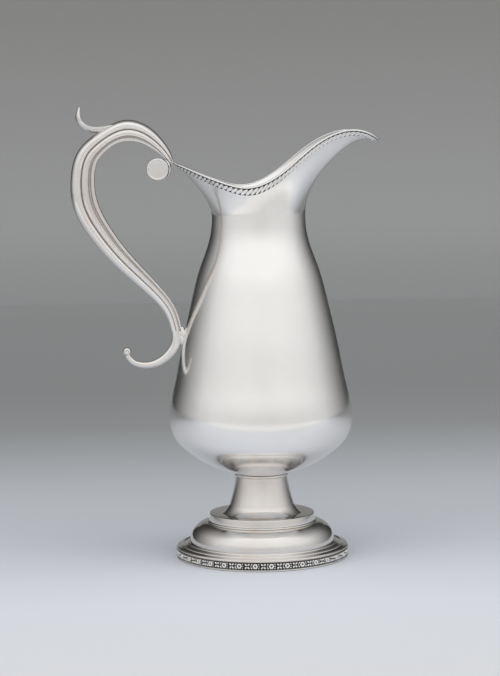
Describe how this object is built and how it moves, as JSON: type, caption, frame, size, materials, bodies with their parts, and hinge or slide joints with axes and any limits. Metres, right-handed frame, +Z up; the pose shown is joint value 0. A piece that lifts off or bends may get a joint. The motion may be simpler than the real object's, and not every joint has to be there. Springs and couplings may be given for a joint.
{
  "type": "silver water pitcher",
  "caption": "Tall pear-shaped silver water pitcher with a helmet mouth and pouring lip, a ribbed scroll handle and a stepped round foot with a flower band.",
  "frame": {"origin": "middle of the foot's underside, on the axis of the body", "axes": "+Z up, +X towards the pouring lip, the handle at -X, symmetric about the plane y = 0"},
  "size_m": [0.2189, 0.1304, 0.3205],
  "materials": {
    "body_silver": "polished silver with fine wear",
    "foot_silver": "polished silver with fine wear",
    "handle_silver": "polished silver, slightly warm",
    "trim_silver": "polished silver with dark tarnish in the recesses"
  },
  "bodies": {
    "root": {"body_shell": "body_silver", "rim_wire": "trim_silver", "rim_band": "trim_silver", "body_collar": "foot_silver", "foot_stem": "foot_silver", "foot_step": "foot_silver", "foot_fillet": "foot_silver", "foot_dome": "foot_silver", "foot_flange": "foot_silver", "foot_band": "trim_silver", "foot_base_wire": "foot_silver", "handle_near_half": "handle_silver", "handle_far_half": "handle_silver", "handle_inner_strip": "handle_silver", "handle_thumb_leaf": "handle_silver", "handle_volute": "handle_silver", "volute_cap_near": "handle_silver", "volute_cap_far": "handle_silver", "handle_upper_joint": "handle_silver", "handle_lower_joint": "handle_silver", "handle_tail": "handle_silver", "tail_ball": "handle_silver"}
  },
  "joints": []
}
